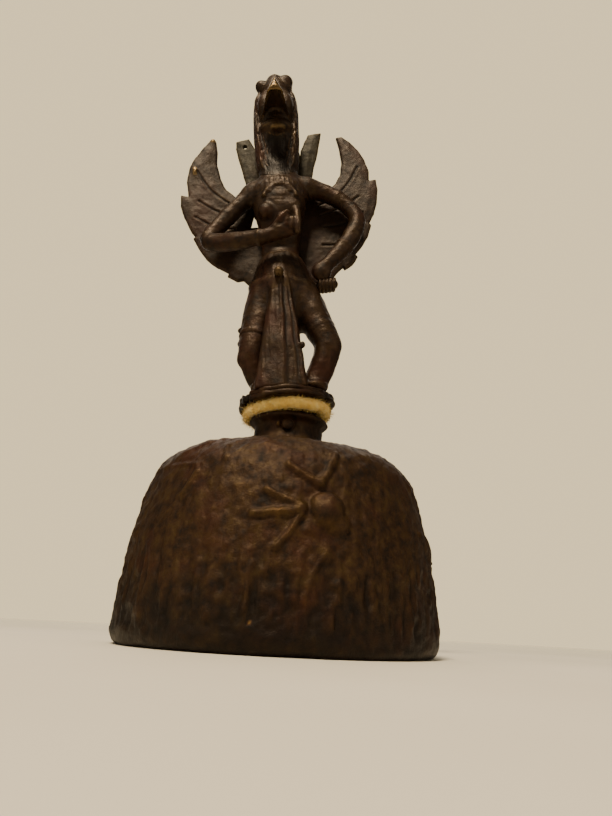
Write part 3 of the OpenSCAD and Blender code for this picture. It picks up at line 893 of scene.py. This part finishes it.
@member("right_leg", (-19.5, -13.5, 72.5), (1, 6.5, 116), {"hips": 2.4, "apron": 0.5})
def right_leg(g):
    d, s = limb(g, [(-5.8, -2.6, 111, 5.4, 5.6), (-7.4, -3.2, 104, 5.7, 5.7), (-9.0, -4.2, 96, 5.2, 5.4),
                    (-10.4, -5.4, 89.0, 4.5, 4.7), (-10.0, -5.4, 84.4, 4.0, 4.1),
                    (-8.8, -5.0, 80.4, 3.6, 3.7), (-6.8, -5.0, 77.0, 3.1, 3.3)], 6)
    d = d - 0.28 * hump(s - 16.5, 0.6)
    d = smin(d, egg(g, (-13.2, -6.4, 86.6), (2.0, 2.2, 2.4)), 1.4)
    for z, x in ((92.6, -14.3), (97.4, -14.0), (82.2, -12.4)):
        d = smin(d, egg(g, (x, -5.0, z), (0.8, 0.9, 0.8)), 0.5)
    return smin(d, egg(g, (-7.8, -7.4, 76.4), (3.2, 4.0, 1.8)), 1.4)


@member("left_leg", (-1, -13.5, 72.5), (21.5, 6.5, 116), {"hips": 2.4, "apron": 0.3})
def left_leg(g):
    d, s = limb(g, [(6.8, -2.6, 111, 5.4, 5.6), (8.6, -3.2, 105.5, 5.5, 5.6), (10.8, -4.2, 99, 5.0, 5.2),
                    (13.4, -5.4, 92.4, 4.4, 4.5), (13.4, -5.6, 88.2, 4.2, 4.2), (11.6, -5.2, 83.2, 4.0, 4.0),
                    (9.0, -5.4, 78.4, 4.0, 3.6)], 6)
    d = d - 0.16 * hump(s - 15.0, 0.5)
    d = smin(d, egg(g, (15.8, -6.8, 90.2), (1.9, 2.2, 3.0)), 1.4)
    return smin(d, egg(g, (8.8, -7.0, 76.3), (4.0, 4.0, 1.9)), 1.4)


APRON_TOP, APRON_FOOT = 113.0, 74.2
# The folds of the apron: how far each stands out, from its left edge to its right edge
APRON_FOLDS = [(0.0, -0.2), (0.12, 0.5), (0.4, 0.95), (0.56, 1.35), (0.64, 0.75), (0.8, 0.85),
               (0.86, 0.55), (0.92, 0.85), (0.97, 0.7), (1.0, 0.0)]


def apron_span(z):
    """The apron's left and right edges and its front at a height."""
    t = np.clip((APRON_TOP - z) / (APRON_TOP - APRON_FOOT), 0.0, 1.0)
    return -3.6 - 6.2 * t ** 1.05, 1.9 + 4.8 * t ** 0.8, -11.0 - 2.9 * t


@member("apron", (-12.5, -17.5, 72.6), (9.5, -6, 117), {"hips": 0.5, "right_leg": 0.5, "belt_boss": 0.4})
def apron(g):
    left, right, front = apron_span(g.z)
    across = (g.x - left) / (right - left)
    at, high = zip(*APRON_FOLDS)
    fold = np.interp(across + 0.012 * np.sin(g.z * 0.5), at, high)
    face = (front - fold + 0.4) - g.y
    back = g.y - (front + 2.9)
    d = smax(smax(face, back, 0.5), smax(left - g.x, g.x - right, 0.5), 0.9)
    d = smax(d, smax(g.z - APRON_TOP, APRON_FOOT - g.z, 0.3), 0.8)
    return smin(d, egg(g, (5.4, -13.2, 88.0), (0.9, 0.9, 1.1)), 0.5)


# ---- the lines cut into the wax ----

def cut(gap, depth, width):
    return -depth * hump(gap, width)


def hair(v, width, depth):
    """Fine wavy locks that run down."""
    turn = np.arctan2(v[:, 0], v[:, 1] + 2.8)
    sway = (0.5 * np.sin(v[:, 2] * 0.55 + turn * 2.0) + 0.22 * np.sin(v[:, 2] * 1.3 + turn * 5.0)
            + 0.3 * noise(v, 3.0, 60))
    lock = np.abs(np.sin((turn * 7.0 + sway) / width * math.pi))
    return depth * (lock ** 0.8 - 0.75)


def strands(v):
    return hair(v, 1.35, 0.42) * (1 - smoothstep(194, 198, v[:, 2]))


def face_lines(v):
    rings = np.zeros(len(v))
    for x, y, z, r in EYES:
        gap = np.linalg.norm(v - np.array([x, y, z]), axis=1) - r
        rings += cut(gap - 0.5, 0.4, 0.3)
    neck = hair(v, 1.25, 0.3) * (1 - smoothstep(172, 175, v[:, 2]))
    return rings + 0.4 * neck + 0.06 * noise(v, 0.8, 64) * (v[:, 2] > 175)


def chest_lines(v):
    front = smoothstep(2.0, 4.5, -v[:, 1])
    spine = cut(np.abs(v[:, 0] - 0.2), 0.5, 0.8) * smoothstep(1.0, 3.0, v[:, 1])
    return spine + 0.04 * noise(v, (0.9, 0.9, 3.0), 65) * smoothstep(142, 146, v[:, 2]) * front


def collar_lines(v):
    return 0.07 * np.sin(np.arctan2(v[:, 0], -v[:, 1] - 1.8) * 30)


def cloth_lines(v):
    """Soft creases of the cloth over hips and thighs."""
    around = np.arctan2(v[:, 0], -v[:, 1])
    down = 0.07 * np.sin(around * 20 + 0.5 * np.sin(v[:, 2] * 0.6)) * smoothstep(104, 108, v[:, 2])
    return down + 0.04 * noise(v, (2.6, 2.6, 1.1), 61)


def apron_lines(v):
    return 0.13 * noise(v, (0.7, 0.7, 5.0), 62)


def arm_lines(v):
    return 0.08 * noise(v, (2.5, 2.5, 0.9), 63)


# Each member of the figure: its mesh step, the lines cut into it and how rough its skin is
PARTS = (
    ("head", 0.3, face_lines, 0.7),
    ("upper_beak", 0.26, None, 0.5),
    ("lower_beak", 0.28, None, 0.6),
    ("eyes", 0.24, None, 0.5),
    ("mane", 0.28, strands, 0.7),
    ("torso", 0.32, chest_lines, 1.0),
    ("breast_collar", 0.28, collar_lines, 1.0),
    ("right_arm", 0.3, arm_lines, 1.0),
    ("left_arm", 0.3, arm_lines, 1.0),
    ("hips", 0.34, cloth_lines, 1.0),
    ("belt", 0.28, None, 0.6),
    ("belt_boss", 0.24, None, 0.4),
    ("belt_knot", 0.24, None, 0.5),
    ("right_leg", 0.32, cloth_lines, 1.0),
    ("left_leg", 0.32, cloth_lines, 1.0),
    ("apron", 0.3, apron_lines, 0.8),
)
for part in PARTS:
    sculpt(*part)


# ---- wings and the plates behind the neck ----

LEFT_WING = [
    (22.4, 181.7), (24.8, 181.9), (27.6, 179.1), (30.6, 174.9), (32.7, 170.1), (33.8, 165.1), (33.7, 160.9),
    (36.2, 161.1), (36.5, 156.5), (35.8, 151.1), (34.4, 146.1), (32.4, 142.5), (33.0, 141.7), (31.6, 137.1),
    (29.0, 132.7), (26.6, 130.1), (27.4, 129.1), (25.2, 126.1), (22.0, 123.7), (21.6, 124.9), (17.6, 120.9),
    (12.8, 118.1), (4.0, 117.4), (4.0, 155.0), (10.0, 155.8),
    (14.4, 156.4), (18.0, 157.8), (20.8, 160.4), (22.8, 164.4), (23.9, 169.7), (23.4, 175.9),
]
RIGHT_WING = [
    (22.6, 181.1), (23.6, 182.5), (24.8, 182.1), (27.6, 178.3), (30.8, 173.3), (32.9, 167.9), (33.7, 162.1),
    (33.0, 156.1), (35.7, 156.5), (35.6, 151.7), (34.4, 146.9), (31.6, 140.7), (30.2, 139.1), (31.0, 138.3),
    (29.2, 134.1), (26.4, 129.9), (22.6, 126.3), (18.8, 124.1), (19.2, 122.9), (15.6, 120.9), (13.4, 121.1),
    (11.0, 118.3), (4.0, 117.4), (4.0, 142.6), (10.3, 142.8), (8.6, 149.4), (4.0, 149.6), (4.0, 153.4),
    (9.0, 153.6), (12.4, 153.8), (15.6, 155.9), (18.8, 159.3), (21.0, 164.1), (22.2, 170.3), (22.2, 176.3),
]
# Feather lines, from the shoulder out to the tips
FEATHERS = [
    [(14, 150.5), (20, 154), (25.6, 159.5), (29.6, 166.6)],
    [(15, 146.5), (23, 149.5), (29, 153.6)],
    [(16, 141.6), (23, 142.6), (30, 146.6)],
    [(15, 134), (21, 134), (27, 137)],
]
WING_BACK, WING_T, BAR_T = 6.2, 3.0, 2.2
PLATE_STEP = 0.32


def plate_piece(name, outline, mirror, material, lines, back, thick, seed,
                camber=0.0, knobs=(), holes=()):
    """A cast plate with rounded edges, its lines cut in both faces, and worn knobs.

    A knob is x, z, half width, half height and how far it stands out; a hole is x, z and radius.
    """
    outline = np.array(outline, float)
    low, high = outline.min(0), outline.max(0)
    g = Space((low[0] - 1.5, back - thick - 2.5, low[1] - 1.5),
              (high[0] + 1.5, back + 2.5, high[1] + 1.5), PLATE_STEP)
    flat = outline_gap(g.x[:, 0, :], g.z[:, 0, :], outline)[:, None, :]
    x, z = np.broadcast_arrays(g.x[:, 0, :], g.z[:, 0, :])
    points = np.stack([x.ravel(), z.ravel()], axis=1)
    swell = 0.45 * smoothstep(0.0, 4.0, -flat[:, 0, :])
    for line in lines:
        gap = line_gap(points, curve(line, 5)).reshape(x.shape)
        swell = swell - 0.4 * hump(gap, 0.36) + 0.08 * hump(gap - 1.0, 0.5)
    for kx, kz, wide, tall, height in knobs:
        swell = swell + height * np.exp(-((x - kx) / wide) ** 2 - ((z - kz) / tall) ** 2)
    middle = back - thick / 2 + camber * np.maximum(x - 14, 0) ** 2
    half = thick / 2 - 0.55 + swell
    d = smax(np.abs(g.y - middle[:, None, :]) - half[:, None, :], flat + 0.1, 1.1)
    for hx, hz, r in holes:
        d = smax(d, r - np.hypot(g.x - hx, g.z - hz) + 0 * g.y, 0.3)
    v, quads, n, sharp = skin(g.full(d).copy(), g)
    out = cast_skin(v, 1.1, seed)
    wear_and_painted_light = np.clip(sharp * 0.9 - 0.1, -1, 0.7) * 0.5 + np.clip(out, -1, 1) * 0.45
    for kx, kz, wide, tall, _ in knobs:
        spot = np.exp(-((v[:, 0] - kx) / wide) ** 4 - ((v[:, 2] - kz) / tall) ** 4)
        wear_and_painted_light = wear_and_painted_light + 1.4 * spot * (v[:, 1] < back - thick / 2)
    v = v + n * out[:, None]
    if mirror:
        v = v * np.array([-1.0, 1.0, 1.0])
        quads = quads[:, ::-1]
    add_piece(name + "_cast", v, quads, material, name, wear_and_painted_light=wear_and_painted_light)


for name, outline, mirror, seed, knobs in (
    ("left_wing", LEFT_WING, False, 301, ()),
    ("right_wing", RIGHT_WING, True, 305, ((30.6, 166.6, 0.8, 1.8, 0.5), (23.7, 181.4, 1.1, 1.1, 0.3))),
):
    plate_piece(name, outline, mirror, WING, FEATHERS, WING_BACK, WING_T, seed,
                camber=-0.0035, knobs=knobs)
for name, outline, mirror, seed, holes in (
    ("back_plate", [(-6.2, 147.5), (6.2, 147.5), (9.0, 163), (8.8, 178.2), (7.2, 178.8), (-6.8, 178.8),
                    (-7.6, 163)], False, 311, ()),
    ("right_back_bar", [(5.4, 148.4), (6.6, 164), (7.4, 178.6), (10.4, 185.3), (15.8, 183.6), (16.0, 180),
                        (14.2, 172), (11.6, 160), (9.4, 148)], True, 315, ((12.1, 180.4, 0.75),)),
    ("left_back_bar", [(5.4, 148.4), (9.4, 148), (12.4, 163), (15.2, 175), (17.6, 187), (11.9, 186),
                       (8.8, 178.6), (6.6, 164)], False, 319, ()),
):
    plate_piece(name, outline, mirror, BAR, [], WING_BACK + BAR_T, BAR_T, seed, holes=holes)


# ---- foot disc, cross pin and cord ----

def make_disc():
    top = DISC_Z + DISC_T
    profile = np.vstack([
        [[0, CROWN_Z + 0.8], [TANG_R - 0.6, CROWN_Z + 1], [TANG_R, CROWN_Z + 1.6], [TANG_R, DISC_Z]],
        [[DISC_R - 1.0, DISC_Z]], arc(DISC_R - 0.95, DISC_Z + 0.95, 0.95, -80, 75, 6),
        [[DISC_R - 0.95, DISC_Z + 1.85]], arc(DISC_R - 1.15, top - 0.9, 0.95, -70, 85, 6),
        [[DISC_R - 3.0, top - 0.15], [0, top]],
    ])
    angles = np.linspace(0, 2 * math.pi, 281)[:-1]
    v, quads, faces = lathe(resample(profile, 0.42), angles)
    n = normals(v, quads)
    r = np.hypot(v[:, 0], v[:, 1])
    edge = smoothstep(DISC_R - 4, DISC_R - 2, r)
    out = cast_skin(v, 1.2, 401) + edge * (0.5 * noise(v, (3.4, 3.4, 9.0), 402) - 0.25)
    around = np.arctan2(v[:, 0], -v[:, 1])
    for angle, wide, deep in ((-64, 0.10, 1.0), (-52, 0.06, 0.6), (58, 0.12, 0.8), (100, 0.1, 0.9),
                              (150, 0.12, 0.8), (-120, 0.1, 0.9)):
        out = out - edge * deep * hump(around - math.radians(angle), wide)
    wear_and_painted_light = 0.5 * edge + out - 0.35
    v = v + n * out[:, None]
    add_piece("foot_disc_cast", v, faces, FIGURE, "foot_disc", wear_and_painted_light=wear_and_painted_light)


def make_pin():
    half = COLLAR_R + 0.25
    end = ((0, 0.25), (0.9, 0.2), (PIN_R - 0.25, -0.02), (PIN_R, -0.4))
    profile = [[r, -half - past] for r, past in end] + [[r, half + past] for r, past in end[::-1]]
    v, quads, faces = lathe(resample(profile, 0.3), np.linspace(0, 2 * math.pi, 49)[:-1])
    n = normals(v, quads)
    out = cast_skin(v, 0.7, 421)
    v = v + n * out[:, None]
    v = np.stack([v[:, 0], v[:, 2], PIN_Z - v[:, 1]], axis=1)
    add_piece("cross_pin_peened", v, faces, BELL, "cross_pin", lean=False, wear_and_painted_light=out * 1.5 + 0.1)


FIBRES = 3600


def make_cord():
    """A soft three-ply yarn wound round under the disc, with loose fibres standing out of it."""
    chance = np.random.RandomState(23)
    n_around, n_ring = 520, 26
    a = np.linspace(0, 2 * math.pi, n_around, endpoint=False)[:, None]
    b = np.linspace(0, 2 * math.pi, n_ring, endpoint=False)[None, :]
    plies = 0.2 * np.abs(np.cos(1.5 * b + 19 * a)) ** 0.6
    centre_z = DISC_Z - CORD_R + 0.05
    ring = np.stack([np.sin(a) + 0 * b, -np.cos(a) + 0 * b, 0 * a + 0 * b], axis=2)
    off = np.stack([np.sin(a) * np.cos(b), -np.cos(a) * np.cos(b), np.sin(b) + 0 * a], axis=2)
    middle = ring * (CORD_RING_R + 0.2 * np.sin(3 * a) + 0.12 * np.sin(7 * a + 1))[:, :, None]
    middle = middle + np.array([0, 0, 1.0]) * (centre_z + 0.1 * np.sin(5 * a + 2))[:, :, None]
    flat = (middle + off * (CORD_R - 0.16 + plies)[:, :, None]).reshape(-1, 3)
    fluff = 0.14 * noise(flat, 0.9, 431) + 0.1 * noise(flat, 0.4, 432)
    flat = flat + off.reshape(-1, 3) * fluff[:, None]
    i = np.arange(n_around * n_ring).reshape(n_around, n_ring)
    j = np.roll(i, -1, axis=0)
    quads = np.stack([i, np.roll(i, -1, 1), np.roll(j, -1, 1), j], axis=2).reshape(-1, 4)
    verts, faces = [flat], list(quads)
    at = len(flat)
    tri = np.array([[math.cos(t), math.sin(t)] for t in (0, 2.09, 4.19)])
    for _ in range(FIBRES):
        k = chance.randint(len(flat))
        root = flat[k]
        way = off.reshape(-1, 3)[k] + chance.normal(0, 0.55, 3)
        way /= np.linalg.norm(way)
        curl = chance.normal(0, 0.35, 3)
        length = chance.uniform(0.4, 1.3)
        side = np.cross(way, [0.3, 0.5, 0.8])
        side /= np.linalg.norm(side)
        deep = np.cross(way, side)
        for t, radius in ((0.0, 0.06), (0.55, 0.045), (1.0, 0.02)):
            c = root - way * 0.1 + (way * t + curl * t * t) * length
            verts.append(c + radius * (tri[:, :1] * side + tri[:, 1:] * deep))
        for level in (0, 3):
            for e in range(3):
                f = (e + 1) % 3
                near, far = at + level, at + level + 3
                faces.append(np.array([near + e, near + f, far + f, far + e]))
        faces.append(np.array([at + 6, at + 7, at + 8]))
        faces.append(np.array([at + 2, at + 1, at]))
        at += 9
    v = leaned(np.vstack(verts))
    resting = np.hypot(v[:, 0], v[:, 1]) < FLANGE_R
    v[resting, 2] = np.maximum(v[resting, 2], COLLAR_TOP + 0.05)
    add_piece("packing_yarn", v, faces, CORD, "packing_cord", lean=False)


make_disc()
make_pin()
make_cord()
for part in ("clapper_staple", "clapper_link", "clapper"):
    for obj in bpy.data.objects:
        if obj.name == part and obj.type == "MESH":
            obj.data.materials.clear()
            obj.data.materials.append(IRON)


# ---- floor, light and camera ----

def stage_scene():
    """A pale floor that fades out with distance, a paper-coloured background and four soft lamps."""
    pale, tree, shader, coord = nodes_of("pale_floor")
    cloud = noise_node(tree, coord, 9.0, 3.0, 0.5)
    stone = ramp(tree, cloud, [(0.3, (0.68, 0.63, 0.52)), (0.7, (0.74, 0.69, 0.58))])
    link(tree, stone, shader.inputs["Base Color"])
    fill(shader, Roughness=0.85)
    away = tree.nodes.new("ShaderNodeVectorMath")
    away.operation = "LENGTH"
    link(tree, coord, away.inputs[0])
    fade = tree.nodes.new("ShaderNodeMixShader")
    link(tree, reading(tree, away.outputs["Value"], 0.12, 0.65, 0.0, 1.0), fade.inputs[0])
    link(tree, shader.outputs[0], fade.inputs[1])
    link(tree, tree.nodes.new("ShaderNodeBsdfTransparent").outputs[0], fade.inputs[2])
    link(tree, fade.outputs[0], tree.nodes["Material Output"].inputs["Surface"])
    bpy.ops.mesh.primitive_plane_add(size=8.0, location=(0, 0, 0))
    floor = bpy.context.object
    floor.name = "floor"
    floor.data.materials.append(pale)
    world = bpy.data.worlds.new("studio")
    bpy.context.scene.world = world
    world.use_nodes = True
    sky = world.node_tree
    soft = sky.nodes["Background"]
    fill(soft, Color=(1.0, 0.86, 0.66, 1), Strength=0.15)
    paper = sky.nodes.new("ShaderNodeBackground")
    fill(paper, Color=(1.0, 0.80, 0.46, 1), Strength=1.2)
    both = sky.nodes.new("ShaderNodeMixShader")
    link(sky, sky.nodes.new("ShaderNodeLightPath").outputs["Is Camera Ray"], both.inputs[0])
    link(sky, soft.outputs[0], both.inputs[1])
    link(sky, paper.outputs[0], both.inputs[2])
    link(sky, both.outputs[0], sky.nodes["World Output"].inputs["Surface"])
    for name, at, size, watts, colour in (
        ("key", (-0.13, -0.33, 0.72), 0.14, 8.0, (1.0, 0.83, 0.58)),
        ("right_fill", (0.50, -0.45, 0.30), 0.50, 1.2, (1.0, 0.86, 0.64)),
        ("left_fill", (-0.50, -0.36, 0.26), 0.50, 1.0, (1.0, 0.86, 0.64)),
        ("back", (-0.05, 0.60, 0.62), 0.90, 4.0, (1.0, 0.88, 0.72)),
    ):
        lamp = bpy.data.lights.new(name, "AREA")
        lamp.size = size
        lamp.energy = watts
        lamp.color = colour
        obj = put(name, lamp)
        obj.location = at
        aim = Vector((0, 0, 0.1)) - Vector(at)
        obj.rotation_euler = aim.to_track_quat("-Z", "Y").to_euler()


def place_camera():
    """The camera looks up at the bell from just above the mouth, close to it and slightly rolled."""
    pitch, roll = math.radians(19.0), math.radians(3.0)
    forward = Vector((0, math.cos(pitch), math.sin(pitch)))
    up = Vector((0, -math.sin(pitch), math.cos(pitch)))
    right = Vector((1, 0, 0))
    across = right * math.cos(roll) + up * math.sin(roll)
    above = up * math.cos(roll) - right * math.sin(roll)
    data = bpy.data.cameras.new("camera")
    data.lens = 28.06
    data.sensor_width = 36.0
    data.clip_start = 0.01
    data.clip_end = 20.0
    camera = put("camera", data)
    camera.matrix_world = Matrix.Translation((0.0052, -0.1915, 0.0065)) @ Matrix(
        (across, above, -forward)).transposed().to_4x4()
    bpy.context.scene.camera = camera


stage_scene()
place_camera()
